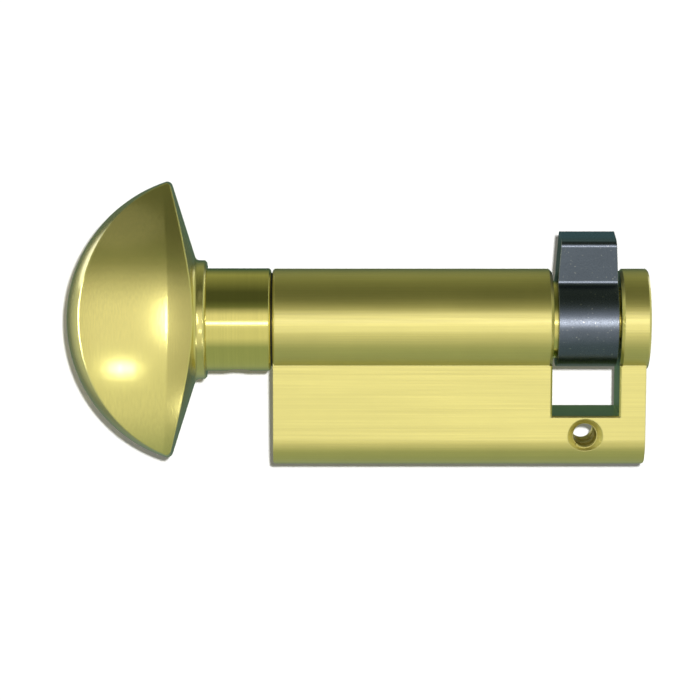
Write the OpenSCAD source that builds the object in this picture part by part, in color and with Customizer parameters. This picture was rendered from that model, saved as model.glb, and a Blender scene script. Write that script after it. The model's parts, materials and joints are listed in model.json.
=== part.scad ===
// Profile cylinder with a half-moon turn at one end and a plain stub at the other.
// X runs along the spindle and the turn is at -X. Z points up and the flag hangs down.
// The origin is on the spindle's axis, in the middle of the cam slot, above the fixing screw.

/* [Profile] */
// Diameter of the round part of the profile
round_d = 17; // [16.6:0.1:17.6]
// Thickness of the flag below the round part
flag_w = 10; // [9:0.1:11]
// From the spindle's axis down to the bottom of the flag
flag_drop = 24.5; // [23.5:0.1:26]
// From the middle of the cam slot to the front face, on the turn's side
front_len = 52; // [40:0.5:80]
// From the middle of the cam slot to the end of the stub
stub_len = 10.4; // [10:0.1:14]
// How far the stub's flag stops short of its round part
flag_setback = 0.4; // [0.3:0.05:1]
// Rounding of the flag's lower end corners
corner_r = 1; // [0.4:0.1:2]
// Bevel round the front face, the stub's end and the turn's neck
edge_break = 0.3; // [0.1:0.05:0.3]
// Bevel on the round rims of the cam slot
slot_break = 0.5; // [0.2:0.05:0.8]

/* [Fixing screw hole] */
// Drop of the screw's axis below the spindle's axis
screw_drop = 18.9; // [18.6:0.1:19.6]
// Core diameter of the M5 thread
screw_core_d = 4.2; // [3.9:0.05:4.4]
// Diameter of the hole's countersunk mouths
screw_mouth_d = 5.9; // [5.2:0.1:6.2]

/* [Cam] */
// Width of the cam along the spindle
cam_w = 9.9; // [9:0.1:10.5]
// Diameter of the cam's ring
ring_d = 15.6; // [15.2:0.1:16]
// From the spindle's axis to the sweep of the lever's far corner
lever_reach = 15; // [13.6:0.1:15.4]
// Thickness of the lever
lever_w = 6.6; // [6:0.1:8]
// How far the middle of the lever lies behind the spindle's axis
lever_shift = 0.4; // [0:0.05:0.6]
// Rounding of the lever's root and of its tip
lever_round = 1; // [0.6:0.1:1.6]
// How much narrower the lever is at its tip, at each side
lever_draft = 0.4; // [0.2:0.05:0.8]
// Turn of the lever out of the upright, towards the viewer
lever_angle = 10; // [-180:1:180]
// Room between the sweeping lever and the slot's floor
lever_play = 0.45; // [0.3:0.05:1]
// Room between the cam and the stub's side of the slot
cam_play = 0.45; // [0.2:0.05:0.8]
// Room between the cam and the turn's side of the slot
cam_front_play = 0.8; // [0.4:0.05:1]

/* [Turn] */
// Height of the turn from tip to tip
turn_h = 46.4; // [40:0.2:52]
// How far the turn's crown stands out past its tips
turn_crown = 17.3; // [14:0.1:19]
// Widest thickness of the turn across its flanks
turn_w = 23.6; // [21:0.1:26]
// Slope of the turn's rear face, in degrees out of the upright
rear_slope = 17.6; // [10:0.1:24]
// Radius of the flanks' curve from tip to tip
flank_curve_v = 42; // [38:1:60]
// Radius of the flanks' curve from crown to rear
flank_curve_h = 60; // [55:1:90]
// From the tips' plane to the thickest place of the flanks
flank_peak = 6; // [3:0.1:8]
// Angle at which the flanks turn in behind the tips' plane
flank_turn_in = 13; // [8:0.5:16]
// Rounding of the turn's tips
tip_r = 0.8; // [0.3:0.1:1.5]
// Diameter of the turn's collar
collar_d = 19.8; // [19:0.1:20.4]
// Length of the collar
collar_len = 1.8; // [1.4:0.1:3]
// Cove between the collar and the turn's rear face
cove_r = 0.9; // [0.4:0.1:1.2]
// Diameter of the polished neck
neck_d = 17.1; // [16.6:0.1:17.6]
// Length of the neck
neck_len = 10.7; // [9:0.1:20]
// Diameter of the stem inside the neck
stem_d = 13.4; // [12.6:0.1:14]
// Turn of the half moon out of the upright, away from the viewer at its top
turn_angle = 10; // [-180:1:180]
// Diameter of the grub screw that holds the turn
grub_d = 4; // [3:0.5:5]

/* [Spindle] */
// Diameter of the spindle in the body
spindle_d = 13; // [12.8:0.05:13.2]
// Diameter of the spindle's end inside the turn's stem
stub_end_d = 8.5; // [7.5:0.1:9]
// Diameter of the spindle where the cam sits
seat_d = 11; // [10.4:0.1:11.2]
// Diameter of the rear journal
journal_d = 8; // [6.6:0.1:8.4]
// Thickness of the spindle's clip
clip_t = 0.5; // [0.4:0.05:0.7]
// How far the clip stands out round the spindle
clip_stand = 0.8; // [0.6:0.05:0.9]
// Depth of the clip's groove in the spindle
clip_groove = 0.85; // [0.6:0.05:1]
// Room round the clip in its seat in the body
clip_room = 0.3; // [0.2:0.05:0.4]
// Width of the key between the spindle and the cam
key_w = 3; // [2.4:0.1:3.6]
// From the front face to the friction ring
ring_from_face = 7; // [5:0.5:12]
// Thickness of the friction ring
ring_t = 1.6; // [1.2:0.1:2]
// Thickness of the washer behind the neck
washer_t = 0.25; // [0.2:0.05:0.5]
// Width of the washer's ring
washer_rim = 1.15; // [0.8:0.05:1.4]

/* [Brake] */
// From the front face to the brake pin
brake_from_face = 22; // [18:0.5:30]
// Diameter of the brake pin
brake_d = 3; // [2.6:0.1:3.4]
// Length of the brake pin
brake_len = 4; // [3:0.1:6]
// Depth of the spindle's brake groove
brake_groove = 0.8; // [0.5:0.05:1]
// Diameter of the plug that closes the brake's bore
plug_d = 3.8; // [3.7:0.1:4.6]
// Length of that plug
plug_len = 3; // [2.5:0.1:5]
// Thickness of the spring's wire
wire_d = 0.45; // [0.3:0.05:0.6]
// Turns of the spring that do the work
spring_turns = 8; // [5:1:10]

/* [Blank end] */
// Diameter of the pin that locks the blank plug in the stub
lock_pin_d = 2.4; // [2:0.1:2.8]
// How deep that pin reaches into the blank plug
lock_pin_bite = 1.3; // [0.8:0.1:1.6]
// Thickness of the blank plug's closed end
blank_end_t = 0.9; // [0.6:0.1:1.2]
// How far the plug's face lies inside the stub's end
blank_recess = 0.15; // [0.05:0.05:0.3]

/* [Fits] */
// Radial play of what turns or slides
run_gap = 0.03; // [0.02:0.01:0.06]
// Radial play of what is pressed or fixed in place
fix_gap = 0.01; // [0.01:0.005:0.02]
// End play of the spindle between the body and the washer, and between the body and the clip
end_play = 0.08; // [0.05:0.01:0.15]

/* [Hidden] */
$fn = 128;
over = 1;

// Body
round_r = round_d / 2;
flag_r = flag_w / 2;
crease_z = -sqrt(round_r * round_r - flag_r * flag_r);
front_x = -front_len;
stub_x = stub_len;
flag_end_x = stub_x - flag_setback;
bore_r = spindle_d / 2 + run_gap;
mouth_depth = (screw_mouth_d - screw_core_d) / 2;
// The bevels on the flag and on the round part run this far past each other where they meet
bevel_lap = 0.1;

// Small clearances that nothing seen depends on
washer_play = 0.1;
ring_side_play = 0.2;
brake_side_play = 0.2;
spring_play = 0.12;
lock_pin_sink = 0.6;

// Cam slot
slot_w = cam_front_play + cam_w + cam_play;
slot_x0 = -slot_w / 2;
slot_x1 = slot_w / 2;
slot_floor_z = -lever_reach - lever_play;
cam_x0 = slot_x0 + cam_front_play;
cam_x1 = slot_x1 - cam_play;
lever_front = lever_w / 2 - lever_shift;
lever_back = lever_w / 2 + lever_shift;
lever_top_z = sqrt(lever_reach * lever_reach - lever_back * lever_back);
// The lever's coves are sunk this far into the ring, so that they cross it and don't only touch
root_sink = 0.02;

// Clip, sunk in the turn's side of the slot
clip_r = spindle_d / 2 + clip_stand;
clip_groove_r = spindle_d / 2 - clip_groove;
clip_fit = end_play / 2;
// Width of the clip's opening as a share of the groove's diameter
clip_mouth = 0.74;
clip_seat_r = clip_r + clip_room;
clip_x1 = slot_x0 - end_play;
clip_x0 = clip_x1 - clip_t;
clip_seat_x = clip_x0 - end_play;

// Turn, from the body outwards
washer_x1 = front_x - end_play;
neck_x1 = washer_x1 - washer_t;
neck_x0 = neck_x1 - neck_len;
collar_r = collar_d / 2;
collar_x0 = neck_x0 - collar_len;
turn_r = turn_h / 2;
tip_x = collar_x0 - tan(rear_slope) * (turn_r - collar_r);
crown_r = (turn_r * turn_r + turn_crown * turn_crown) / (2 * turn_crown);
crown_x = tip_x - turn_crown + crown_r;
peak_x = tip_x - flank_peak;
turn_in_x = tip_x - flank_curve_h * sin(flank_turn_in);
tips_half_w = turn_w / 2 - sag(flank_curve_h, flank_peak);
turn_in_half_w = tips_half_w + sag(flank_curve_h, tip_x - turn_in_x);
stem_r = stem_d / 2;
grub_x = (neck_x0 + neck_x1) / 2;
grub_flat = 0.6;
grub_sink = 0.4;
grub_top_r = neck_d / 2 - grub_sink;
grub_end_r = stub_end_d / 2 - grub_flat + fix_gap;
grub_socket = grub_d / 2;
grub_flat_len = 1.5 * grub_d;

// Spindle, which is full size up to a short land inside the cam
shoulder_x = washer_x1 - washer_t + end_play / 2;
stub_end_setback = 0.8;
stub_end_x = neck_x0 + stub_end_setback;
land_len = 0.9;
land_x1 = cam_x0 + land_len;
seat_x1 = cam_x1 + cam_play / 2;
journal_x1 = stub_x - blank_recess - blank_end_t - end_play;
spindle_bevel = 0.4;
washer_id = spindle_d + 2 * washer_play;
washer_od = washer_id + 2 * washer_rim;
ring_x = front_x + ring_from_face;
ring_groove_r = bore_r - ring_t - fix_gap;
ring_groove_w = ring_t + 2 * ring_side_play;

// Key, let into the seat and standing out into the cam
key_sink = 1.2;
key_top_play = 0.06;
key_end_play = 0.3;
key_r0 = seat_d / 2 - key_sink;
key_r1 = spindle_d / 2 - key_top_play;
key_x0 = land_x1 + fix_gap;
key_x1 = cam_x1 - key_end_play;

// Brake, a pin that a spring presses up into the spindle's groove
brake_x = front_x + brake_from_face;
groove_r = spindle_d / 2 - brake_groove;
pin_top_z = -groove_r - end_play / 2;
pin_foot_z = pin_top_z - brake_len;
pin_nose = brake_groove + end_play;
plug_top_z = -flag_drop + plug_len;
spring_top_z = pin_foot_z - fix_gap;
spring_foot_z = plug_top_z + fix_gap;
spring_r = brake_d / 2 - wire_d / 2 - spring_play;

// Blank end
lock_x = (slot_x1 + flag_end_x) / 2;
lock_top_z = -spindle_d / 2 + lock_pin_bite;
lock_foot_z = -flag_drop + lock_pin_sink;

BRASS = [0.83, 0.76, 0.43];
POLISHED = [0.86, 0.78, 0.40];
DARK_STEEL = [0.27, 0.31, 0.34];
STEEL = [0.70, 0.71, 0.72];
BLACK = [0.12, 0.12, 0.12];

// How far an arc of radius r falls away at distance d from its top
function sag(r, d) = r - sqrt(r * r - d * d);

// Runs a YZ outline along X
module along_x(x0, x1) {
  translate([x0, 0, 0]) rotate([90, 0, 90]) linear_extrude(x1 - x0) children();
}

// Spins an outline drawn as [radius, x] about the X axis
module about_x() {
  rotate([0, 90, 0]) rotate_extrude() children();
}

// A plain round length on the X axis
module bar_x(r, x0, x1) {
  translate([x0, 0, 0]) rotate([0, 90, 0]) cylinder(r = r, h = x1 - x0);
}

// A plain round length along X, with its axis at [y, z]
module bar_at(r, y, z, x0, x1) {
  translate([0, y, z]) bar_x(r, x0, x1);
}

// A round length along Z at place x, from z0 up to z1
module pillar(r, x, z0, z1) {
  translate([x, 0, z0]) cylinder(r = r, h = z1 - z0);
}

// Section of the flag: straight sides and a full round bottom
module flag_section() {
  translate([0, -flag_drop + flag_r]) circle(r = flag_r);
  translate([-flag_r, -flag_drop + flag_r]) square([flag_w, flag_drop - flag_r]);
}

// Side view of the flag, with its lower end corners rounded
module flag_side() {
  low = -flag_drop + corner_r;
  translate([front_x, low]) square([flag_end_x - front_x, -low]);
  translate([front_x + corner_r, -flag_drop]) square([flag_end_x - front_x - 2 * corner_r, 2 * corner_r]);
  for (x = [front_x + corner_r, flag_end_x - corner_r]) translate([x, low]) circle(r = corner_r);
}

module flag_solid() {
  intersection() {
    along_x(front_x, flag_end_x) flag_section();
    rotate([90, 0, 0]) linear_extrude(2 * flag_w, center = true) flag_side();
  }
}

// The round part with bevelled ends
module round_solid() {
  about_x() polygon([
    [0, front_x], [round_r - edge_break, front_x], [round_r, front_x + edge_break],
    [round_r, stub_x - edge_break], [round_r - edge_break, stub_x], [0, stub_x]
  ]);
}

// The window in which the cam turns, open at the top, the front and the back, with bevelled edges
module slot_cut() {
  translate([slot_x0, -round_d, slot_floor_z]) cube([slot_w, 2 * round_d, 2 * round_d]);
  intersection() {
    about_x() {
      slot_rim(slot_x0, -1);
      slot_rim(slot_x1, 1);
    }
    translate([-round_d, -round_d, crease_z - bevel_lap]) cube(2 * round_d);
  }
  for (side = [-1, 1]) slot_flag_rim(side);
}

// Bevel cut on the slot's edges in the flag's face at the side -1 or 1
module slot_flag_rim(side) {
  inside = side * (flag_r - edge_break);
  outside = side * (flag_r + over);
  reach = edge_break + over;
  intersection() {
    translate([0, 0, -round_d]) linear_extrude(round_d + crease_z + bevel_lap) polygon([
      [slot_x0, inside], [slot_x1, inside], [slot_x1 + reach, outside], [slot_x0 - reach, outside]
    ]);
    along_x(-round_d, round_d) polygon([
      [inside, slot_floor_z], [inside, 0], [outside, 0], [outside, slot_floor_z - reach]
    ]);
  }
}

// Bevel cut on the round rim of the slot at x, widening to side
module slot_rim(x, side) {
  polygon([
    [round_r - slot_break, x], [round_r + over, x + side * (slot_break + over)],
    [round_r + over, x - side * bevel_lap], [round_r - slot_break, x - side * bevel_lap]
  ]);
}

// The through hole for the fixing screw, countersunk at both faces
module screw_cut() {
  translate([0, 0, -screw_drop]) rotate([90, 0, 0]) {
    cylinder(d = screw_core_d, h = 2 * flag_w, center = true);
    for (side = [0, 180]) {
      rotate([side, 0, 0]) translate([0, 0, flag_r - mouth_depth])
        cylinder(d1 = screw_core_d, d2 = screw_mouth_d + 2 * over, h = mouth_depth + over);
    }
  }
}

module cylinder_body() {
  color(BRASS) difference() {
    union() {
      round_solid();
      flag_solid();
    }
    bar_x(bore_r, front_x - over, stub_x + over);
    bar_x(clip_seat_r, clip_seat_x, 0);
    slot_cut();
    screw_cut();
    pillar(brake_d / 2 + run_gap, brake_x, -flag_drop - over, 0);
    pillar(plug_d / 2 + fix_gap, brake_x, -flag_drop - over, plug_top_z);
    pillar(lock_pin_d / 2 + fix_gap, lock_x, -flag_drop - over, 0);
  }
}

// Outline of the turned blank, as [radius, x]: a domed crown, rounded tips and a sloped rear
module turn_outline() {
  rear = [cos(rear_slope), sin(rear_slope)];
  rear_reach = rear * [collar_x0 - crown_x, collar_r];
  inner = rear_reach - tip_r;
  rise = sqrt(pow(crown_r - tip_r, 2) - inner * inner);
  tip_c = [crown_x + inner * rear[0] - rise * rear[1], inner * rear[1] + rise * rear[0]];
  out = [tip_c[0] - crown_x, tip_c[1]] / (crown_r - tip_r);
  // The pointed tip is cut off behind the centre of its rounding
  wedge = 5 * tip_r;
  difference() {
    intersection() {
      translate([0, crown_x]) circle(r = crown_r, $fn = 256);
      polygon([
        [0, crown_x - 2 * crown_r], [2 * turn_r, crown_x - 2 * crown_r],
        [2 * turn_r, collar_x0 - tan(rear_slope) * (2 * turn_r - collar_r)],
        [collar_r, collar_x0], [0, collar_x0]
      ]);
    }
    polygon([
      [tip_c[1], tip_c[0]], [tip_c[1] + wedge * out[1], tip_c[0] + wedge * out[0]],
      [tip_c[1] + 1.5 * wedge, tip_c[0]], [tip_c[1] + wedge * rear[1], tip_c[0] + wedge * rear[0]]
    ]);
  }
  translate([tip_c[1], tip_c[0]]) circle(r = tip_r);
}

// Cove between the rear face and the collar
module cove_outline() {
  lean = tan(rear_slope);
  centre = [collar_r + cove_r, collar_x0 - lean * cove_r + cove_r / cos(rear_slope)];
  foot = [centre[0] - cove_r * sin(rear_slope), centre[1] - cove_r * cos(rear_slope)];
  inner = collar_r - over / 2;
  difference() {
    polygon([[inner, collar_x0 - over / 2], foot, centre, [collar_r, centre[1]], [inner, centre[1]]]);
    translate(centre) circle(r = cove_r);
  }
}

// A barrel whose side, half_w away from the X axis at place x, curves both ways
module barrel(x, half_w, side) {
  end_z = 0.6 * turn_h;
  translate([x, side * (half_w - flank_curve_h), 0]) rotate_extrude() intersection() {
    union() {
      translate([flank_curve_h - flank_curve_v, 0]) circle(r = flank_curve_v, $fn = 256);
      translate([0, -turn_h]) square([flank_curve_h - flank_curve_v, 2 * turn_h]);
    }
    translate([0, -end_z]) square([2 * flank_curve_h, 2 * end_z]);
  }
}

// The half moon: the turned blank between two curved flanks
module half_moon() {
  intersection() {
    union() {
      about_x() turn_outline();
      about_x() cove_outline();
    }
    intersection() {
      barrel(peak_x, turn_w / 2, -1);
      barrel(turn_in_x, turn_in_half_w, -1);
      barrel(peak_x, turn_w / 2, 1);
      barrel(turn_in_x, turn_in_half_w, 1);
    }
  }
}

module grub_bore(r) {
  translate([grub_x, 0, -neck_d]) cylinder(r = r, h = neck_d);
}

module turn_head() {
  color(BRASS) rotate([-turn_angle, 0, 0]) difference() {
    union() {
      half_moon();
      about_x() polygon([
        [0, collar_x0 - over], [collar_r, collar_x0], [collar_r, neck_x0 - edge_break],
        [collar_r - edge_break, neck_x0], [0, neck_x0]
      ]);
      bar_x(stem_r, neck_x0, neck_x1);
    }
    bar_x(stub_end_d / 2 + fix_gap, stub_end_x - end_play, neck_x1 + over);
    grub_bore(grub_d / 2 + fix_gap);
  }
}

module turn_neck() {
  color(POLISHED) rotate([-turn_angle, 0, 0]) difference() {
    about_x() polygon([
      [stem_r + fix_gap, neck_x0], [neck_d / 2, neck_x0], [neck_d / 2, neck_x1 - edge_break],
      [neck_d / 2 - edge_break, neck_x1], [stem_r + fix_gap, neck_x1]
    ]);
    grub_bore(grub_d / 2 + fix_gap);
  }
}

// Headless screw that goes through the neck and the stem onto the spindle's flat
module turn_grub_screw() {
  socket_depth = grub_d / 2;
  color(STEEL) rotate([-turn_angle, 0, 0]) difference() {
    pillar(grub_d / 2, grub_x, -grub_top_r, -grub_end_r);
    translate([grub_x, 0, -grub_top_r - over])
      cylinder(d = grub_socket / cos(30), h = socket_depth + over, $fn = 6);
  }
}

module thrust_washer() {
  color(BLACK) about_x() translate([washer_id / 2, neck_x1]) square([(washer_od - washer_id) / 2, washer_t]);
}

// Outline of the spindle, as [radius, x], from its end in the turn to the rear journal
module spindle_outline() {
  r = spindle_d / 2;
  half = brake_d / 2 + brake_side_play;
  groove_x0 = clip_x0 - clip_fit;
  groove_x1 = clip_x1 + clip_fit;
  polygon([
    [0, stub_end_x], [stub_end_d / 2 - spindle_bevel, stub_end_x],
    [stub_end_d / 2, stub_end_x + spindle_bevel], [stub_end_d / 2, shoulder_x], [r, shoulder_x],
    [r, ring_x - ring_groove_w / 2], [ring_groove_r, ring_x - ring_groove_w / 2],
    [ring_groove_r, ring_x + ring_groove_w / 2], [r, ring_x + ring_groove_w / 2],
    [r, brake_x - half], [groove_r, brake_x - half + brake_groove],
    [groove_r, brake_x + half - brake_groove], [r, brake_x + half],
    [r, groove_x0], [clip_groove_r, groove_x0],
    [clip_groove_r, groove_x1], [r, groove_x1], [r, land_x1], [seat_d / 2, land_x1],
    [seat_d / 2, seat_x1], [journal_d / 2, seat_x1],
    [journal_d / 2, journal_x1 - spindle_bevel], [journal_d / 2 - spindle_bevel, journal_x1], [0, journal_x1]
  ]);
}

module turn_spindle() {
  color(POLISHED) difference() {
    about_x() spindle_outline();
    rotate([-turn_angle, 0, 0]) translate([grub_x - grub_flat_len / 2, -spindle_d, -spindle_d - grub_end_r])
      cube([grub_flat_len, 2 * spindle_d, spindle_d + fix_gap]);
    rotate([lever_angle, 0, 0]) translate([key_x0 - fix_gap, -key_w / 2 - fix_gap, key_r0])
      cube([2 * cam_w, key_w + 2 * fix_gap, spindle_d]);
  }
}

module friction_ring() {
  color(BLACK) about_x() translate([bore_r - ring_t / 2 - fix_gap / 2, ring_x]) circle(d = ring_t - fix_gap);
}

// Snap ring with an opening for fitting it from the side
module spindle_clip() {
  inner_r = clip_groove_r + fix_gap;
  mouth_w = 2 * clip_mouth * inner_r;
  color(STEEL) difference() {
    about_x() translate([inner_r, clip_x0]) square([clip_r - inner_r, clip_t]);
    translate([clip_x0 - over, -mouth_w / 2, -2 * clip_r]) cube([clip_t + 2 * over, mouth_w, 2 * clip_r]);
  }
}

// Height of the centre of the cove between the ring and the lever's face at y
function root_height(y) = sqrt(pow(ring_d / 2 + lever_round - root_sink, 2) - pow(abs(y) + lever_round, 2));

// A square length along X, whose corner furthest from the axis lies at [y, z]
module corner_at(y, z, size, x0, x1) {
  translate([x0, min(y, y - sign(y) * size), z - size]) cube([x1 - x0, size, size]);
}

// Cuts the lever's corner on the side of y down to a round edge
module tip_edge(y) {
  x0 = cam_x0 - over;
  x1 = cam_x1 + over;
  difference() {
    corner_at(y + sign(y) * over, lever_top_z + over, lever_round + over, x0, x1);
    bar_at(lever_round, y - sign(y) * lever_round, lever_top_z - lever_round, x0 - over, x1 + over);
  }
}

// Foot of the lever at y, which a cove of the same rounding then hollows towards the ring
module root_block(y) {
  root_y = y + sign(y) * lever_round;
  root_z = root_height(y);
  along_x(cam_x0, cam_x1) polygon([[0, 0], [root_y, root_z], [y, root_z], [0, root_z]]);
}

// The lever: a flat tip with round edges, sides that draw in towards it, and a coved root
module cam_lever() {
  draft_z = ring_d / 2;
  difference() {
    union() {
      intersection() {
        translate([cam_x0, -lever_front, 0]) cube([cam_w, lever_w, lever_top_z]);
        rotate([90, 0, 0]) linear_extrude(4 * lever_w, center = true) polygon([
          [cam_x0, 0], [cam_x1, 0], [cam_x1, draft_z], [cam_x1 - lever_draft, lever_top_z],
          [cam_x0 + lever_draft, lever_top_z], [cam_x0, draft_z]
        ]);
      }
      root_block(-lever_front);
      root_block(lever_back);
    }
    for (y = [-lever_front, lever_back]) {
      bar_at(lever_round, y + sign(y) * lever_round, root_height(y), cam_x0 - over, cam_x1 + over);
      tip_edge(y);
    }
  }
}

module cam() {
  color(DARK_STEEL) rotate([lever_angle, 0, 0]) difference() {
    union() {
      bar_x(ring_d / 2, cam_x0, cam_x1);
      cam_lever();
    }
    bar_x(seat_d / 2 + fix_gap, cam_x0 - over, cam_x1 + over);
    bar_x(spindle_d / 2 + run_gap, cam_x0 - over, land_x1 + fix_gap);
    translate([cam_x0 - over, -key_w / 2 - fix_gap, 0])
      cube([cam_w + 2 * over, key_w + 2 * fix_gap, key_r1 + fix_gap]);
  }
}

module cam_key() {
  color(STEEL) rotate([lever_angle, 0, 0]) translate([key_x0, -key_w / 2, key_r0 + fix_gap])
    cube([key_x1 - key_x0, key_w, key_r1 - key_r0 - fix_gap]);
}

// Blank that closes the stub's bore and carries the rear journal
module blank_plug() {
  color(POLISHED) difference() {
    bar_x(bore_r - fix_gap, slot_x1, stub_x - blank_recess);
    bar_x(journal_d / 2 + run_gap, slot_x1 - over, stub_x - blank_recess - blank_end_t);
    pillar(lock_pin_d / 2 + fix_gap, lock_x, -round_d, lock_top_z);
  }
}

module blank_lock_pin() {
  color(STEEL) pillar(lock_pin_d / 2, lock_x, lock_foot_z, lock_top_z - fix_gap);
}

// Brake pin with a bevelled nose
module brake_pin() {
  r = brake_d / 2;
  color(STEEL) translate([brake_x, 0, 0]) rotate_extrude() polygon([
    [0, pin_foot_z], [r, pin_foot_z], [r, pin_top_z - pin_nose], [r - pin_nose, pin_top_z], [0, pin_top_z]
  ]);
}

// Height of the spring's wire after t turns: one closed turn at each end, open ones between
function spring_z(t) =
  let (low = spring_foot_z + wire_d / 2, high = spring_top_z - wire_d / 2, shut = wire_d * 1.05)
  let (open = (high - low - 2 * shut) / spring_turns)
  low + shut * min(t, 1) + open * max(0, min(t - 1, spring_turns)) + shut * max(0, t - 1 - spring_turns);

// Compression spring, swept as rings of eight points round its wire
module brake_spring() {
  sides = 8;
  steps = 14;
  count = (spring_turns + 2) * steps;
  points = [
    for (i = [0 : count], k = [0 : sides - 1])
      let (a = 360 * i / steps, b = 360 * k / sides, r = spring_r + wire_d / 2 * cos(b))
      [r * cos(a), r * sin(a), spring_z(i / steps) + wire_d / 2 * sin(b)]
  ];
  skin = [
    for (i = [0 : count - 1], k = [0 : sides - 1])
      let (n = (k + 1) % sides, p = i * sides)
      [p + k, p + n, p + sides + n, p + sides + k]
  ];
  start = [for (k = [sides - 1 : -1 : 0]) k];
  stop = [for (k = [0 : sides - 1]) count * sides + k];
  color(STEEL) translate([brake_x, 0, 0]) polyhedron(points, concat(skin, [start, stop]), convexity = 10);
}

// Plug pressed into the brake's bore and dressed flush with the flag's round bottom
module brake_plug() {
  color(POLISHED) intersection() {
    pillar(plug_d / 2, brake_x, -flag_drop - over, plug_top_z);
    flag_solid();
  }
}

cylinder_body();
turn_head();
turn_neck();
turn_grub_screw();
thrust_washer();
turn_spindle();
friction_ring();
spindle_clip();
cam();
cam_key();
blank_plug();
blank_lock_pin();
brake_pin();
brake_spring();
brake_plug();
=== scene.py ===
"""Looks of a thumbturn profile cylinder: its metals, its screw thread, and the table it is seen on.

Run as a script, it dresses the packed CAD model. Lengths are metres, in the CAD model's own frame.
"""

import json
import math

import bpy
from bpy.props import FloatProperty, FloatVectorProperty, IntProperty, PointerProperty
from mathutils import Matrix, Vector

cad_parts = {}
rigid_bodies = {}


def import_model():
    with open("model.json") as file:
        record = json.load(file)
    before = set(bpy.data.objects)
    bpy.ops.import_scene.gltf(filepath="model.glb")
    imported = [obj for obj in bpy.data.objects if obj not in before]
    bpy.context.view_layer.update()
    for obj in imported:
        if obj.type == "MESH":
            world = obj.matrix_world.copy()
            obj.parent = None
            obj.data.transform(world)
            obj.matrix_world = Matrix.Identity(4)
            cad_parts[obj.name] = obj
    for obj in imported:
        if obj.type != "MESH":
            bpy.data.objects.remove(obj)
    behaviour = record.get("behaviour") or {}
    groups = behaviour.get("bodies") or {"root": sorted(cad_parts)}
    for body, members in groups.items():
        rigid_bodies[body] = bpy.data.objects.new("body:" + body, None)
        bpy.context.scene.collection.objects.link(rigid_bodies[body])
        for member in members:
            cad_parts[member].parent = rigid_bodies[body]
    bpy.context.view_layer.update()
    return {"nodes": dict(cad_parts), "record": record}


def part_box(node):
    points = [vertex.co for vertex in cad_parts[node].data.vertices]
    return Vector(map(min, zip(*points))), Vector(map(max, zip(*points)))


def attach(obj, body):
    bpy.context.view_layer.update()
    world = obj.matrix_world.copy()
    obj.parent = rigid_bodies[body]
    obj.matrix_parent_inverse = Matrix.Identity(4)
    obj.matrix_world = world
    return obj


bl_info = {
    "name": "Thumbturn Profile Cylinder",
    "version": (1, 0, 0),
    "blender": (4, 5, 0),
    "location": "3D View > Sidebar > Cylinder",
    "description": "Dresses a thumbturn profile cylinder in brass and steel",
    "category": "Object",
}

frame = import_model()
NODES = frame["nodes"]


class StudioSettings(bpy.types.PropertyGroup):
    """The table, the lamps and the camera."""

    camera_distance: FloatProperty(
        name="Camera Distance", description="From the camera to the spindle's axis",
        default=0.5, unit="LENGTH",
    )
    camera_elevation: FloatProperty(
        name="Camera Elevation", description="Height of the camera above the level of the spindle",
        default=math.radians(10), subtype="ANGLE",
    )
    camera_x: FloatProperty(
        name="Camera Along Spindle", description="Place of the camera along the spindle",
        default=-0.0425, unit="LENGTH",
    )
    picture_width: FloatProperty(
        name="Picture Width", description="Width of what the camera sees at the spindle's axis",
        default=0.11686, unit="LENGTH",
    )
    picture_centre: FloatVectorProperty(
        name="Picture Centre", description="Middle of the picture, along the spindle and up from its axis",
        default=(-0.03916, -0.00509), size=2, unit="LENGTH",
    )
    table_depth: FloatProperty(
        name="Table Depth", description="From the spindle's axis back to the table that the cylinder lies on",
        default=0.025, unit="LENGTH",
    )
    table_size: FloatProperty(
        name="Table Size", description="Length of the table's sides",
        default=0.5, unit="LENGTH",
    )
    table_light: FloatProperty(
        name="Table Light", description="Power of the lamp that lights the table",
        default=2.65,
    )
    table_lamp_offset: FloatVectorProperty(
        name="Table Lamp Offset", description="From the picture's middle to that lamp, to the right and up",
        default=(0.0095, 0.013), size=2, unit="LENGTH",
    )
    table_lamp_size: FloatProperty(
        name="Table Lamp Size", description="Diameter of that lamp: a small one makes a sharp shadow",
        default=0.009, unit="LENGTH",
    )
    surroundings: FloatProperty(
        name="Surroundings", description="Level of the light from all round on what isn't mirrored",
        default=0.22,
    )


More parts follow.
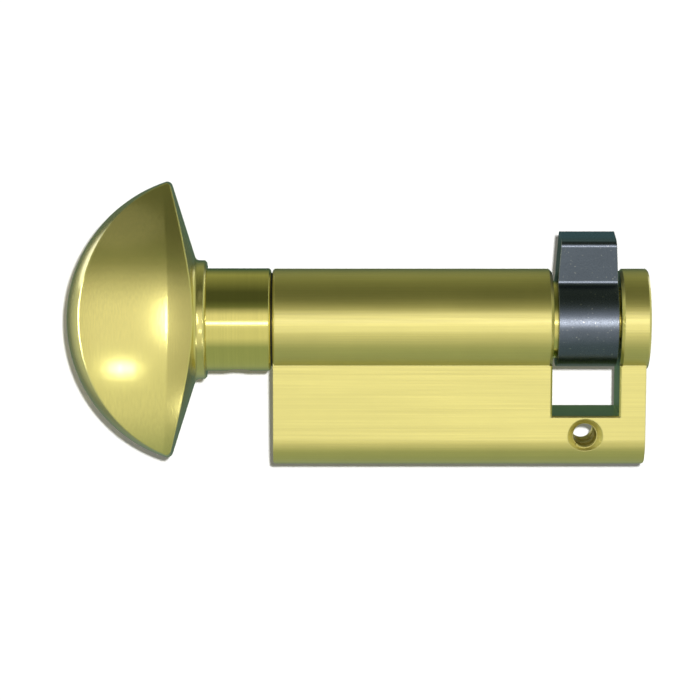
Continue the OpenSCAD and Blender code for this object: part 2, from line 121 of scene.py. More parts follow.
class BrassSettings(bpy.types.PropertyGroup):
    """The brass pieces' finish."""

    colour: FloatVectorProperty(
        name="Brass", description="Colour of the brass",
        default=(0.81, 0.71, 0.235), size=3, subtype="COLOR", min=0, max=1,
    )
    # The brass's edges are painted in this colour: partly rubbed wear, partly painted highlight.
    worn_and_highlight_colour: FloatVectorProperty(
        name="Bright Brass", description="Colour of the brass where an edge is rubbed bright",
        default=(0.93, 0.85, 0.42), size=3, subtype="COLOR", min=0, max=1,
    )
    body_roughness: FloatProperty(
        name="Body Roughness", description="Roughness of the drawn body",
        default=0.34, min=0, max=1,
    )
    turn_roughness: FloatProperty(
        name="Turn Roughness", description="Roughness of the half-moon turn",
        default=0.19, min=0, max=1,
    )
    neck_roughness: FloatProperty(
        name="Neck Roughness", description="Roughness of the polished neck",
        default=0.12, min=0, max=1,
    )
    haze: FloatProperty(
        name="Haze", description="Share of the light that the satin brass scatters widely",
        default=0.35, min=0, max=1,
    )
    turn_haze: FloatProperty(
        name="Turn Haze", description="The same share on the half-moon turn",
        default=0.14, min=0, max=1,
    )
    haze_roughness: FloatProperty(
        name="Haze Roughness", description="Roughness of that wide scattering",
        default=0.62, min=0, max=1,
    )
    lacquer: FloatProperty(
        name="Lacquer", description="Weight of the clear lacquer on the satin brass",
        default=1.0, min=0, max=1,
    )
    lacquer_roughness: FloatProperty(
        name="Lacquer Roughness", description="Roughness of that lacquer",
        default=0.15, min=0, max=1,
    )
    # Painted shade: the walls of the cam's slot are painted darker and greener, as the shade inside the slot.
    slot_shade_tint: FloatVectorProperty(
        name="Slot Tint", description="What the milled walls of the cam's slot keep of the brass's colour",
        default=(0.45, 0.72, 0.60), size=3, subtype="COLOR", min=0, max=1,
    )
    slot_half_width: FloatProperty(
        name="Slot Half Width", description="From the middle of the cam's slot to just past its walls",
        default=0.0056, unit="LENGTH", precision=5,
    )
    slot_floor: FloatProperty(
        name="Slot Floor", description="From the spindle's axis down to just past the slot's floor",
        default=0.01547, unit="LENGTH", precision=5,
    )
    brush_width: FloatProperty(
        name="Brush Width", description="Width of one brush line",
        default=0.00022, unit="LENGTH", precision=5,
    )
    brush_depth: FloatProperty(
        name="Brush Depth", description="Depth of the brush lines",
        default=0.000006, unit="LENGTH", precision=6,
    )
    # Width of the edges painted bright as wear and painted highlight
    edge_width: FloatProperty(
        name="Edge Width", description="Width of the rubbed edges",
        default=0.00022, unit="LENGTH", precision=5,
    )


class SteelSettings(bpy.types.PropertyGroup):
    """The steel pieces' finish."""

    cam_colour: FloatVectorProperty(
        name="Cam", description="Colour of the sintered and blued cam",
        default=(0.140, 0.164, 0.222), size=3, subtype="COLOR", min=0, max=1,
    )
    # Painted reflection: the lever's tip is painted bluer, for the bluish light that its upward face mirrors.
    tip_reflection_colour: FloatVectorProperty(
        name="Lever Tip", description="Colour of the lever's tip, where the oxide is thickest",
        default=(0.13, 0.26, 0.50), size=3, subtype="COLOR", min=0, max=1,
    )
    # Height of that band of painted blue reflection at the lever's tip
    tip_height: FloatProperty(
        name="Lever Tip Height", description="Height of the blued band at the lever's tip",
        default=0.0012, unit="LENGTH", precision=5,
    )
    # The cam's edges are painted in this colour: partly rubbed wear, partly painted highlight.
    cam_edge_wear_and_highlight: FloatVectorProperty(
        name="Cam Edge", description="Colour of the cam where an edge is rubbed bright",
        default=(0.62, 0.63, 0.65), size=3, subtype="COLOR", min=0, max=1,
    )
    # Width of the cam's edges painted bright as wear and painted highlight
    cam_edge_width: FloatProperty(
        name="Cam Edge Width", description="Width of the cam's rubbed edges",
        default=0.00020, unit="LENGTH", precision=5,
    )
    cam_roughness: FloatProperty(
        name="Cam Roughness", description="Roughness of the cam",
        default=0.24, min=0, max=1,
    )
    ground_colour: FloatVectorProperty(
        name="Ground Steel", description="Colour of the pins, the key and the grub screw",
        default=(0.55, 0.56, 0.58), size=3, subtype="COLOR", min=0, max=1,
    )
    spring_colour: FloatVectorProperty(
        name="Spring Steel", description="Colour of the clip and the spring",
        default=(0.33, 0.34, 0.36), size=3, subtype="COLOR", min=0, max=1,
    )


class ThreadSettings(bpy.types.PropertyGroup):
    """The fixing screw's thread."""

    pitch: FloatProperty(
        name="Pitch", description="Pitch of the fixing screw's M5 thread",
        default=0.0008, unit="LENGTH", precision=5,
    )
    depth: FloatProperty(
        name="Depth", description="How far the thread's ridges stand out of the hole's wall",
        default=0.00024, unit="LENGTH", precision=5,
    )
    steps: IntProperty(
        name="Steps", description="Points in each turn of a thread",
        default=40, min=12,
    )


SETTINGS = {
    "cylinder_studio": StudioSettings,
    "cylinder_brass": BrassSettings,
    "cylinder_steel": SteelSettings,
    "cylinder_thread": ThreadSettings,
}


# Shader building


def add(tree, kind, **values):
    """A new node with these properties; a name that is an input's sets that input."""
    node = tree.nodes.new(kind)
    for key, value in values.items():
        name = key.replace("_", " ")
        if hasattr(node, key):
            setattr(node, key, value)
        else:
            node.inputs[name].default_value = value
    return node


def join(tree, output, socket):
    tree.links.new(output, socket)


def math_node(tree, operation, first, second=None, clamp=False):
    """A Math node on sockets or plain numbers."""
    node = add(tree, "ShaderNodeMath", operation=operation, use_clamp=clamp)
    for place, value in enumerate((first, second)):
        if value is None:
            continue
        if isinstance(value, (int, float)):
            node.inputs[place].default_value = value
        else:
            join(tree, value, node.inputs[place])
    return node.outputs[0]


def spread(tree, value, low, high, to_low=0.0, to_high=1.0):
    """The value mapped from low..high to to_low..to_high, and held there."""
    node = add(tree, "ShaderNodeMapRange", clamp=True)
    join(tree, value, node.inputs["Value"])
    for name, number in (("From Min", low), ("From Max", high), ("To Min", to_low), ("To Max", to_high)):
        node.inputs[name].default_value = number
    return node.outputs["Result"]


def noise(tree, sizes, detail=3.0):
    """Noise on Object coordinates, whose grains are so many metres long in x, y and z."""
    place = add(tree, "ShaderNodeTexCoord")
    mapping = add(tree, "ShaderNodeMapping", vector_type="TEXTURE")
    mapping.inputs["Scale"].default_value = sizes
    join(tree, place.outputs["Object"], mapping.inputs["Vector"])
    grain = add(tree, "ShaderNodeTexNoise", Scale=1.0, Detail=detail, Roughness=0.6)
    join(tree, mapping.outputs[0], grain.inputs["Vector"])
    return grain.outputs["Fac"]


def blend(tree, amount, first, second):
    """A colour mixed between two colours or sockets by amount."""
    node = add(tree, "ShaderNodeMix", data_type="RGBA", clamp_factor=True)
    join(tree, amount, node.inputs["Factor"])
    for socket, value in ((node.inputs[6], first), (node.inputs[7], second)):
        if isinstance(value, bpy.types.NodeSocket):
            join(tree, value, socket)
        else:
            socket.default_value = (*value, 1.0)
    return node.outputs[2]


def metal_base(name, haze=0.0, haze_roughness=0.6):
    """A metal as (material, node tree, surface shaders); haze is the share of a second, rough shader."""
    material = bpy.data.materials.new(name)
    material.use_nodes = True
    tree = material.node_tree
    tree.nodes.clear()
    surface = add(tree, "ShaderNodeBsdfPrincipled", Metallic=1.0)
    output = add(tree, "ShaderNodeOutputMaterial")
    if not haze:
        join(tree, surface.outputs[0], output.inputs["Surface"])
        return material, tree, (surface,)
    wide = add(tree, "ShaderNodeBsdfPrincipled", Metallic=1.0, Roughness=haze_roughness)
    both = add(tree, "ShaderNodeMixShader")
    both.inputs[0].default_value = haze
    join(tree, surface.outputs[0], both.inputs[1])
    join(tree, wide.outputs[0], both.inputs[2])
    join(tree, both.outputs[0], output.inputs["Surface"])
    return material, tree, (surface, wide)


def feed(tree, output, surfaces, name):
    """Joins an output to the input of this name on each surface shader."""
    for surface in surfaces:
        join(tree, output, surface.inputs[name])


def soft_edges(tree, width):
    """(normal that rounds sharp edges over this width, mask that is 1 on such edges)."""
    bevel = add(tree, "ShaderNodeBevel", samples=6, Radius=width)
    flat = add(tree, "ShaderNodeNewGeometry")
    dot = add(tree, "ShaderNodeVectorMath", operation="DOT_PRODUCT")
    join(tree, bevel.outputs[0], dot.inputs[0])
    join(tree, flat.outputs["Normal"], dot.inputs[1])
    return bevel.outputs[0], spread(tree, dot.outputs["Value"], 0.995, 0.86)


def lacquered(material, weight, roughness):
    """The material with a clear coat over its metal."""
    for node in material.node_tree.nodes:
        if node.bl_idname == "ShaderNodeBsdfPrincipled":
            node.inputs["Coat Weight"].default_value = weight
            node.inputs["Coat Roughness"].default_value = roughness
    return material


def paint_slot_shade(material, half_width, floor, tint):
    """The material with painted shade: darker, greener walls where the cam's slot is milled out."""
    tree = material.node_tree
    surfaces = [node for node in tree.nodes if node.bl_idname == "ShaderNodeBsdfPrincipled"]
    place = add(tree, "ShaderNodeTexCoord")
    apart = add(tree, "ShaderNodeSeparateXYZ")
    join(tree, place.outputs["Object"], apart.inputs[0])
    between = math_node(tree, "LESS_THAN", math_node(tree, "ABSOLUTE", apart.outputs["X"]), half_width)
    above = math_node(tree, "GREATER_THAN", apart.outputs["Z"], -floor)
    # Painted shade: the slot's walls take a darker, greener colour
    painted_slot_shade = add(tree, "ShaderNodeMix", data_type="RGBA", blend_type="MULTIPLY")
    join(tree, math_node(tree, "MULTIPLY", between, above), painted_slot_shade.inputs["Factor"])
    join(tree, surfaces[0].inputs["Base Color"].links[0].from_socket, painted_slot_shade.inputs[6])
    painted_slot_shade.inputs[7].default_value = (*tint, 1.0)
    feed(tree, painted_slot_shade.outputs[2], surfaces, "Base Color")
    return material


def shade(colour, factor):
    return tuple(min(1.0, part * factor) for part in colour)


def brushed_metal(name, colour, edge_wear_and_highlight, roughness, lines, depth, edge_width, haze=0.0, haze_roughness=0.6):
    """Brushed metal whose brush lines have these sizes in x, y and z."""
    material, tree, surfaces = metal_base(name, haze, haze_roughness)
    normal, edges = soft_edges(tree, edge_width)
    streaks = noise(tree, lines, 2.0)
    clouds = noise(tree, (0.012, 0.012, 0.012), 3.0)
    tone = blend(tree, spread(tree, clouds, 0.3, 0.7), shade(colour, 0.95), shade(colour, 1.03))
    tone = blend(tree, spread(tree, streaks, 0.35, 0.65, 0.0, 0.5), tone, shade(colour, 0.88))
    # Edges painted brighter: partly rubbed wear, partly painted highlight
    rubbed = math_node(tree, "MULTIPLY", edges, spread(tree, clouds, 0.25, 0.6, 0.35, 0.9))
    feed(tree, blend(tree, rubbed, tone, edge_wear_and_highlight), surfaces, "Base Color")
    rough = spread(tree, streaks, 0.3, 0.7, roughness * 0.85, roughness * 1.2)
    rough = math_node(tree, "ADD", rough, spread(tree, clouds, 0.3, 0.7, -0.015, 0.02))
    join(tree, rough, surfaces[0].inputs["Roughness"])
    bump = add(tree, "ShaderNodeBump", Strength=1.0, Distance=depth)
    join(tree, streaks, bump.inputs["Height"])
    join(tree, normal, bump.inputs["Normal"])
    feed(tree, bump.outputs[0], surfaces, "Normal")
    return material


def sintered_steel(name, steel, tip_z):
    """Pressed and blued powder steel: fine pores, faint clouds, edges painted bright as wear and painted
    highlight, and a painted blue reflection above tip_z.
    """
    colour = tuple(steel.cam_colour)
    roughness = steel.cam_roughness
    material, tree, (surface,) = metal_base(name)
    normal, edges = soft_edges(tree, steel.cam_edge_width)
    pores = noise(tree, (0.00010, 0.00010, 0.00010), 2.0)
    specks = noise(tree, (0.00035, 0.00035, 0.00035), 1.0)
    clouds = noise(tree, (0.006, 0.006, 0.006), 2.0)
    tone = blend(tree, spread(tree, clouds, 0.3, 0.7), shade(colour, 0.93), shade(colour, 1.06))
    tone = blend(tree, spread(tree, pores, 0.52, 0.72), tone, shade(colour, 0.62))
    tone = blend(tree, spread(tree, specks, 0.70, 0.76), tone, (0.42, 0.43, 0.44))
    place = add(tree, "ShaderNodeTexCoord")
    height = add(tree, "ShaderNodeSeparateXYZ")
    join(tree, place.outputs["Object"], height.inputs[0])
    # Painted reflection: bluer above tip_z, on the lever's upward-facing tip
    tone = blend(tree, spread(tree, height.outputs["Z"], tip_z, tip_z + 0.0007), tone, steel.tip_reflection_colour)
    # Edges painted brighter: partly rubbed wear, partly painted highlight
    rubbed = math_node(tree, "MULTIPLY", edges, spread(tree, clouds, 0.3, 0.6, 0.3, 0.8))
    join(tree, blend(tree, rubbed, tone, steel.cam_edge_wear_and_highlight), surface.inputs["Base Color"])
    join(tree, spread(tree, pores, 0.35, 0.7, roughness, roughness + 0.12), surface.inputs["Roughness"])
    bump = add(tree, "ShaderNodeBump", Strength=0.5, Distance=0.000012)
    join(tree, pores, bump.inputs["Height"])
    join(tree, normal, bump.inputs["Normal"])
    join(tree, bump.outputs[0], surface.inputs["Normal"])
    return material


def dull_plastic(name, colour, roughness):
    """Black plastic or rubber with a fine grain."""
    material, tree, (surface,) = metal_base(name)
    surface.inputs["Metallic"].default_value = 0.0
    grain = noise(tree, (0.0002, 0.0002, 0.0002), 3.0)
    clouds = noise(tree, (0.003, 0.003, 0.003), 2.0)
    tone = blend(tree, spread(tree, clouds, 0.3, 0.7), shade(colour, 0.7), shade(colour, 1.5))
    join(tree, tone, surface.inputs["Base Color"])
    rough = spread(tree, grain, 0.3, 0.7, roughness - 0.08, roughness + 0.1)
    join(tree, rough, surface.inputs["Roughness"])
    bump = add(tree, "ShaderNodeBump", Strength=0.4, Distance=0.00002)
    join(tree, grain, bump.inputs["Height"])
    join(tree, bump.outputs[0], surface.inputs["Normal"])
    return material


def dress(material, *names):
    """Gives CAD nodes this material."""
    for name in names:
        slots = NODES[name].material_slots
        if not slots:
            raise RuntimeError(f"{name} has no material slot")
        for place in slots:
            place.material = material


def brush_lines(settings, axis, length=0.03):
    """Sizes of brush lines that run along the axis x, y or z."""
    return tuple(length if letter == axis else settings.brush_width for letter in "xyz")


# Screw threads


def thread_tree():
    """A geometry tree that winds a ridge round the Z axis, up from z = 0 over its Length."""
    tree = bpy.data.node_groups.new("Thread Ridge", "GeometryNodeTree")
    face = tree.interface
    for name, kind in (
        ("Radius", "NodeSocketFloat"), ("Length", "NodeSocketFloat"), ("Pitch", "NodeSocketFloat"),
        ("Depth", "NodeSocketFloat"), ("Steps", "NodeSocketInt"), ("Material", "NodeSocketMaterial"),
    ):
        face.new_socket(name, in_out="INPUT", socket_type=kind)
    face.new_socket("Geometry", in_out="OUTPUT", socket_type="NodeSocketGeometry")
    given = add(tree, "NodeGroupInput").outputs
    result = add(tree, "NodeGroupOutput")

    turns = add(tree, "ShaderNodeMath", operation="DIVIDE")
    join(tree, given["Length"], turns.inputs[0])
    join(tree, given["Pitch"], turns.inputs[1])
    spiral = add(tree, "GeometryNodeCurveSpiral")
    join(tree, given["Steps"], spiral.inputs["Resolution"])
    join(tree, turns.outputs[0], spiral.inputs["Rotations"])
    join(tree, given["Radius"], spiral.inputs["Start Radius"])
    join(tree, given["Radius"], spiral.inputs["End Radius"])
    join(tree, given["Length"], spiral.inputs["Height"])
    ridge = add(tree, "GeometryNodeCurvePrimitiveCircle", Resolution=4)
    join(tree, given["Depth"], ridge.inputs["Radius"])
    sweep = add(tree, "GeometryNodeCurveToMesh")
    sweep.inputs["Fill Caps"].default_value = True
    join(tree, spiral.outputs[0], sweep.inputs["Curve"])
    join(tree, ridge.outputs[0], sweep.inputs["Profile Curve"])
    whole = add(tree, "GeometryNodeRealizeInstances")
    join(tree, sweep.outputs[0], whole.inputs[0])
    painted = add(tree, "GeometryNodeSetMaterial")
    join(tree, whole.outputs[0], painted.inputs["Geometry"])
    join(tree, given["Material"], painted.inputs["Material"])
    join(tree, painted.outputs[0], result.inputs[0])
    return tree


def grow(name, tree, values):
    """The mesh that a geometry tree makes with these named inputs."""
    holder = bpy.data.objects.new(f"{name}_holder", bpy.data.meshes.new(f"{name}_holder"))
    bpy.context.scene.collection.objects.link(holder)
    modifier = holder.modifiers.new("Tree", "NODES")
    modifier.node_group = tree
    for item in tree.interface.items_tree:
        if item.in_out == "INPUT" and item.name in values:
            modifier[item.identifier] = values[item.name]
    bpy.context.view_layer.update()
    evaluated = holder.evaluated_get(bpy.context.evaluated_depsgraph_get())
    mesh = bpy.data.meshes.new_from_object(evaluated)
    holder.modifiers.remove(modifier)
    bpy.data.objects.remove(holder)
    mesh.name = name
    return mesh


def new_piece(name, mesh, body):
    """A piece of this mesh that rides on a CAD body."""
    piece = bpy.data.objects.new(name, mesh)
    bpy.context.scene.collection.objects.link(piece)
    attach(piece, body)
    return piece


# Table, lamps and camera


def view_axes(elevation):
    """(direction the camera looks in, direction that is up in the picture)."""
    look = Vector((0.0, math.cos(elevation), -math.sin(elevation)))
    return look, Vector((0.0, math.sin(elevation), math.cos(elevation)))


def facing(look, up):
    """Rotation that turns -Z to look and Y to up."""
    side = look.cross(up)
    return Matrix((side, up, -look)).transposed()


def make_camera(settings):
    look, up = view_axes(settings.camera_elevation)
    x, rise = settings.picture_centre
    place = Vector((settings.camera_x, 0.0, 0.0)) + up * rise - look * settings.camera_distance
    aim = (Vector((x, 0.0, 0.0)) + up * rise - place).normalized()
    lens = bpy.data.cameras.new("Camera")
    lens.sensor_width = 36.0
    lens.lens = 36.0 * settings.camera_distance / settings.picture_width
    lens.clip_start, lens.clip_end = 0.02, 20.0
    camera = bpy.data.objects.new("Camera", lens)
    bpy.context.scene.collection.objects.link(camera)
    camera.matrix_world = Matrix.Translation(place) @ facing(aim, up).to_4x4()
    bpy.context.scene.camera = camera


def table_material():
    """Plain white, and see-through from behind, so that the cylinder's back can be seen too."""
    material = bpy.data.materials.new("White Table")
    material.use_nodes = True
    tree = material.node_tree
    tree.nodes.clear()
    white = add(tree, "ShaderNodeBsdfDiffuse", Color=(0.92, 0.92, 0.92, 1.0))
    clear = add(tree, "ShaderNodeBsdfTransparent")
    side = add(tree, "ShaderNodeNewGeometry")
    either = add(tree, "ShaderNodeMixShader")
    output = add(tree, "ShaderNodeOutputMaterial")
    join(tree, side.outputs["Backfacing"], either.inputs[0])
    join(tree, white.outputs[0], either.inputs[1])
    join(tree, clear.outputs[0], either.inputs[2])
    join(tree, either.outputs[0], output.inputs["Surface"])
    return material


def make_table(settings):
    look, up = view_axes(settings.camera_elevation)
    half = settings.table_size / 2
    centre = Vector((settings.picture_centre[0], 0.0, 0.0)) + look * settings.table_depth
    side = look.cross(up)
    corners = [centre + side * a * half + up * b * half for a, b in ((-1, -1), (1, -1), (1, 1), (-1, 1))]
    mesh = bpy.data.meshes.new("table")
    mesh.from_pydata([tuple(corner) for corner in corners], [], [(0, 1, 2, 3)])
    mesh.materials.append(table_material())
    table = bpy.data.objects.new("table", mesh)
    bpy.context.scene.collection.objects.link(table)
    table.visible_glossy = False
    table.visible_diffuse = False
    table.visible_shadow = False
    return table


def make_table_lamp(settings, table):
    """A lamp on the table alone, close beside the camera, for a narrow shadow to the left and below."""
    look, up = view_axes(settings.camera_elevation)
    side = look.cross(up)
    x, rise = settings.picture_centre
    right, above = settings.table_lamp_offset
    aim = Vector((x, 0.0, 0.0)) + up * rise
    place = aim - look * settings.camera_distance + side * right + up * above
    lamp = bpy.data.lights.new("Table Lamp", "AREA")
    lamp.shape = "DISK"
    lamp.size = settings.table_lamp_size
    lamp.energy = settings.table_light
    holder = bpy.data.objects.new("Table Lamp", lamp)
    bpy.context.scene.collection.objects.link(holder)
    holder.matrix_world = Matrix.Translation(place) @ facing((aim - place).normalized(), up).to_4x4()
    holder.visible_camera = False
    holder.visible_glossy = False
    light_only(holder, table)


def light_only(lamp, *lit):
    """Keeps a lamp's light on these objects."""
    receivers = bpy.data.collections.new(f"Lit By {lamp.name}")
    for thing in lit:
        receivers.objects.link(thing)
    lamp.light_linking.receiver_collection = receivers


WHITE = (1.0, 1.0, 1.0)
# A shade warmer than white, on the blued cam
WARM = (1.0, 0.93, 0.80)
PANEL_DISTANCE = 1.0
# Watts that make a panel of one square metre as bright as white
PANEL_POWER = 4
# (name, what it lights, degrees above and to the right of the camera, width, height, level, colour)
PANELS = (
    ("Neck Strip", "polished", -9, 0, 0.34, 0.11, 3.1, WHITE),
    ("Body Strip", "body", -5, 3, 0.34, 0.16, 0.92, WHITE),
    ("Body Box", "body", -8, 4, 0.9, 0.85, 0.47, WHITE),
    ("Cam Strip", "cam", -8, 3, 0.34, 0.20, 8.0, WARM),
    ("Turn Right Box", "turn", 0, 8, 0.07, 0.34, 14.0, WHITE),
    ("Turn Lower Box", "turn", -23, -11, 0.13, 0.075, 8.0, WHITE),
    ("Turn Lower Right Box", "turn", -47, 27, 0.22, 0.22, 2.6, WHITE),
    ("Turn Top Box", "turn", 46, -12, 0.5, 0.4, 0.10, WHITE),
    ("Turn Left Box", "turn", 0, -72, 0.45, 0.8, 12.0, WHITE),
    ("Rear Left Box", "all", 150, -45, 0.4, 0.4, 1.0, WHITE),
    ("Rear Right Box", "all", 150, 45, 0.4, 0.4, 1.0, WHITE),
)


def soft_box(name, settings, above, aside, width, height, level, lit, colour):
    """A lit panel so many degrees above and to the right of the camera, as bright all over as level.

    It lights only what lit holds, or everything where that is empty.
    """
    look, up = view_axes(settings.camera_elevation)
    side = look.cross(up)
    above, aside = math.radians(above), math.radians(aside)
    way = (up * math.sin(above) - look * math.cos(above)) * math.cos(aside) + side * math.sin(aside)
    lamp = bpy.data.lights.new(name, "AREA")
    lamp.shape = "ELLIPSE"
    lamp.size, lamp.size_y = width, height
    lamp.energy = level * PANEL_POWER * width * height * math.pi / 4
    lamp.color = colour
    holder = bpy.data.objects.new(name, lamp)
    bpy.context.scene.collection.objects.link(holder)
    lift = (up - way * up.dot(way)).normalized()
    holder.matrix_world = Matrix.Translation(way * PANEL_DISTANCE) @ facing(-way, lift).to_4x4()
    holder.visible_camera = False
    if lit:
        light_only(holder, *lit)


# The room that the metal mirrors: its parts by degrees up from the camera, with their level and tint
BACK_OF_ROOM = (0.06, 0.11, 0.08)
FLOOR = (0.34, 0.42, 0.32)
BENCH = (0.80, 0.82, 0.70)
WINDOW = (0.92, 0.92, 0.84)
CEILING = (0.075, 0.09, 0.05)
WALL_ABOVE = (0.32, 0.35, 0.20)
SURROUNDINGS = (
    (-180, BACK_OF_ROOM),
    (-130, FLOOR),
    (-66, FLOOR),
    (-43, BENCH),
    (-25, BENCH),
    (-10, WINDOW),
    (9, WINDOW),
    (27, tuple(2 * part for part in CEILING)),
    (42, CEILING),
    (64, CEILING),
    (118, WALL_ABOVE),
    (150, BACK_OF_ROOM),
)


# The same room off to either side
SIDE_WALLS = (0.66, 0.72, 0.52)
# What is left of the room's level just before the side walls begin
SIDE_SHADE = 0.55


def make_world(settings):
    """White behind the cylinder, and the photographer's room in what the metal mirrors."""
    look, up = view_axes(settings.camera_elevation)
    side = look.cross(up)
    world = bpy.data.worlds.new("Room")
    bpy.context.scene.world = world
    world.use_nodes = True
    tree = world.node_tree
    tree.nodes.clear()
    way = add(tree, "ShaderNodeTexCoord").outputs["Generated"]

    def along(axis):
        dot = add(tree, "ShaderNodeVectorMath", operation="DOT_PRODUCT")
        join(tree, way, dot.inputs[0])
        dot.inputs[1].default_value = axis
        return dot.outputs["Value"]

    angle = math_node(tree, "ARCTAN2", along(up), along(-look))
    place = spread(tree, angle, -math.pi, math.pi)
    ramp = add(tree, "ShaderNodeValToRGB")
    bar = ramp.color_ramp
    while len(bar.elements) > 1:
        bar.elements.remove(bar.elements[-1])
    for number, (degrees, colour) in enumerate(SURROUNDINGS):
        position = (degrees + 180) / 360
        stop = bar.elements[0] if number == 0 else bar.elements.new(position)
        stop.position = position
        stop.color = (*colour, 1.0)
    join(tree, place, ramp.inputs[0])
    off_middle = math_node(tree, "ABSOLUTE", along(side))
    dimmed = add(tree, "ShaderNodeMix", data_type="RGBA", blend_type="MULTIPLY")
    dimmed.inputs["Factor"].default_value = 1.0
    join(tree, ramp.outputs[0], dimmed.inputs[6])
    join(tree, spread(tree, off_middle, 0.26, 0.48, 1.0, SIDE_SHADE), dimmed.inputs[7])
    room = blend(tree, spread(tree, off_middle, 0.45, 0.85), dimmed.outputs[2], SIDE_WALLS)

    rays = add(tree, "ShaderNodeLightPath")
    seen = math_node(tree, "MAXIMUM", rays.outputs["Is Camera Ray"], rays.outputs["Is Transmission Ray"])
    level = settings.surroundings
    plain = blend(tree, rays.outputs["Is Glossy Ray"], (level, level, level), room)
    colour = blend(tree, seen, plain, (1.0, 1.0, 1.0))
    background = add(tree, "ShaderNodeBackground")
    join(tree, colour, background.inputs["Color"])
    output = add(tree, "ShaderNodeOutputWorld")
    join(tree, background.outputs[0], output.inputs["Surface"])


# The pieces that the lamps on the body light
BODY_PIECES = ("cylinder_body", "blank_plug", "screw_hole_thread")


class CYLINDER_OT_studio(bpy.types.Operator):
    """Set up the camera, the white table and the lamps"""

    bl_idname = "cylinder.studio"
    bl_label = "Table, Lamps and Camera"

    def execute(self, context):
        settings = context.scene.cylinder_studio
        turn = (NODES["turn_head"],)
        cam = (NODES["cam"],)
        body = tuple(thing for thing in context.scene.objects if thing.name in BODY_PIECES)
        polished = tuple(
            thing for thing in context.scene.objects
            if thing.type == "MESH" and thing not in (*turn, *cam, *body)
        )
        groups = {"turn": turn, "cam": cam, "body": body, "polished": polished, "all": ()}
        make_camera(settings)
        table = make_table(settings)
        make_table_lamp(settings, table)
        for name, group, *panel, colour in PANELS:
            soft_box(name, settings, *panel, groups[group], colour)
        make_world(settings)
        context.scene.view_settings.view_transform = "Standard"
        return {"FINISHED"}


class CYLINDER_OT_body(bpy.types.Operator):
    """Finish the drawn brass body and the blank that closes the stub"""

    bl_idname = "cylinder.body"
    bl_label = "Body"

    def execute(self, context):
        brass = context.scene.cylinder_brass
        drawn = brushed_metal(
            "Drawn Brass", brass.colour, brass.worn_and_highlight_colour, brass.body_roughness,
            brush_lines(brass, "x"), brass.brush_depth, brass.edge_width,
            brass.haze, brass.haze_roughness,
        )
        # Painted shade on the walls of the cam's slot
        paint_slot_shade(drawn, brass.slot_half_width, brass.slot_floor, brass.slot_shade_tint)
        dress(lacquered(drawn, brass.lacquer, brass.lacquer_roughness), "cylinder_body")
        dress(
            brushed_metal(
                "Turned Brass", brass.colour, brass.worn_and_highlight_colour, brass.neck_roughness + 0.08,
                (brass.brush_width, 0.03, 0.03), brass.brush_depth * 0.5, brass.edge_width,
            ),
            "blank_plug", "turn_spindle", "brake_plug",
        )
        return {"FINISHED"}


class CYLINDER_OT_turn(bpy.types.Operator):
    """Finish the half-moon turn, its neck and its washer"""

    bl_idname = "cylinder.turn"
    bl_label = "Turn"

    def execute(self, context):
        brass = context.scene.cylinder_brass
        brushed = brushed_metal(
            "Brushed Turn Brass", brass.colour, brass.worn_and_highlight_colour, brass.turn_roughness,
            brush_lines(brass, "z"), brass.brush_depth, 2 * brass.edge_width,
            brass.turn_haze, brass.haze_roughness,
        )
        dress(lacquered(brushed, brass.lacquer, brass.lacquer_roughness), "turn_head")
        dress(
            brushed_metal(
                "Polished Brass", brass.colour, brass.worn_and_highlight_colour, brass.neck_roughness,
                (brass.brush_width, 0.02, 0.02), brass.brush_depth * 0.3, brass.edge_width,
            ),
            "turn_neck",
        )
        dress(dull_plastic("Black Washer Plastic", (0.02, 0.02, 0.02), 0.5), "thrust_washer")
        return {"FINISHED"}


class CYLINDER_OT_cam(bpy.types.Operator):
    """Finish the cam with its lever"""

    bl_idname = "cylinder.cam"
    bl_label = "Cam"

    def execute(self, context):
        steel = context.scene.cylinder_steel
        tip_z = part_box("cam")[1][2] - steel.tip_height
        dress(sintered_steel("Blued Sintered Steel", steel, tip_z), "cam")
        return {"FINISHED"}


class CYLINDER_OT_small_steel(bpy.types.Operator):
    """Finish the pins, the key, the clip, the spring and the friction ring"""

    bl_idname = "cylinder.small_steel"
    bl_label = "Pins, Key, Clip and Spring"

    def execute(self, context):
        steel = context.scene.cylinder_steel
        # These steels' edges are painted brighter too: partly rubbed wear, partly painted highlight
        ground = brushed_metal(
            "Ground Steel", steel.ground_colour, (0.8, 0.8, 0.82), 0.22,
            (0.004, 0.0002, 0.004), 0.000004, 0.0001,
        )
        dress(ground, "turn_grub_screw", "cam_key", "blank_lock_pin", "brake_pin")
        spring = brushed_metal(
            "Spring Steel", steel.spring_colour, (0.6, 0.6, 0.62), 0.28,
            (0.0003, 0.006, 0.006), 0.000003, 0.0001,
        )
        dress(spring, "spindle_clip", "brake_spring")
        dress(dull_plastic("Black Rubber", (0.015, 0.015, 0.015), 0.62), "friction_ring")
        return {"FINISHED"}


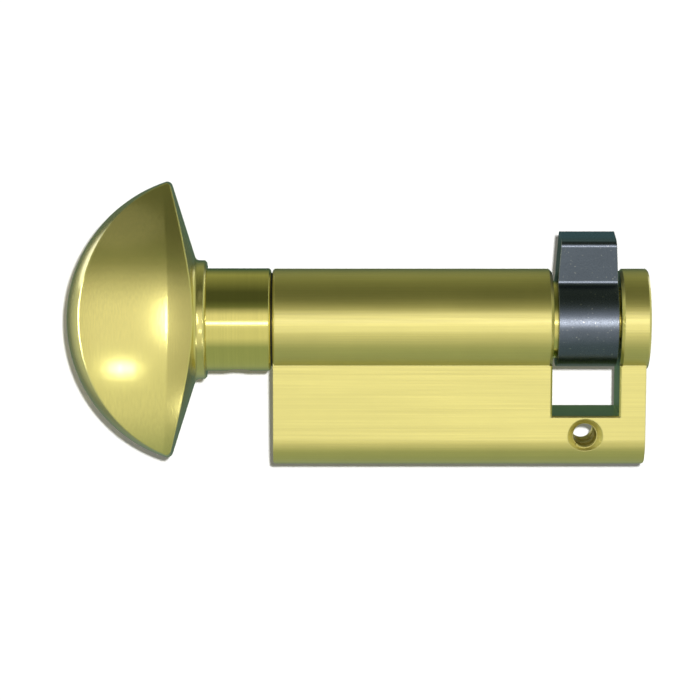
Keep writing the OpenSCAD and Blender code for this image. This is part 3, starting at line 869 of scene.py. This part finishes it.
class CYLINDER_OT_threads(bpy.types.Operator):
    """Cut the thread in the fixing screw's hole"""

    bl_idname = "cylinder.threads"
    bl_label = "Screw Threads"

    def execute(self, context):
        thread = context.scene.cylinder_thread
        mount = next(m for m in frame["record"]["mounts"] if m["name"] == "fixing_screw")
        radius = mount["dims"]["r_mm"] / 1000
        length = mount["dims"]["length_mm"] / 1000
        mesh = grow("screw_hole_thread", thread_tree(), {
            "Radius": radius, "Length": length, "Pitch": thread.pitch, "Depth": thread.depth,
            "Steps": thread.steps, "Material": NODES["cylinder_body"].material_slots[0].material,
        })
        if not mesh.vertices:
            raise RuntimeError("the thread came out empty")
        place = Matrix.Translation(Vector(mount["pos_m"])) @ Matrix.Rotation(math.radians(90), 4, "X")
        mesh.transform(place @ Matrix.Translation((0.0, 0.0, -length / 2)))
        new_piece("screw_hole_thread", mesh, "cylinder")
        return {"FINISHED"}


STEPS = (
    CYLINDER_OT_body, CYLINDER_OT_turn, CYLINDER_OT_cam, CYLINDER_OT_small_steel,
    CYLINDER_OT_threads, CYLINDER_OT_studio,
)


class CYLINDER_PT_panel(bpy.types.Panel):
    """The steps that dress the cylinder, with their sizes and colours"""

    bl_idname = "CYLINDER_PT_panel"
    bl_label = "Thumbturn Profile Cylinder"
    bl_space_type = "VIEW_3D"
    bl_region_type = "UI"
    bl_category = "Cylinder"

    def draw(self, context):
        layout = self.layout
        for step in STEPS:
            layout.operator(step.bl_idname)
        for name, kind in SETTINGS.items():
            box = layout.box()
            box.label(text=kind.__doc__)
            for key in kind.__annotations__:
                box.prop(getattr(context.scene, name), key)


CLASSES = (*SETTINGS.values(), *STEPS, CYLINDER_PT_panel)


def register():
    for kind in CLASSES:
        bpy.utils.register_class(kind)
    for name, kind in SETTINGS.items():
        setattr(bpy.types.Scene, name, PointerProperty(type=kind))


def unregister():
    for name in SETTINGS:
        delattr(bpy.types.Scene, name)
    for kind in reversed(CLASSES):
        bpy.utils.unregister_class(kind)


def main():
    register()
    for step in STEPS:
        family, action = step.bl_idname.split(".")
        getattr(getattr(bpy.ops, family), action)()


if __name__ == "__main__":
    main()
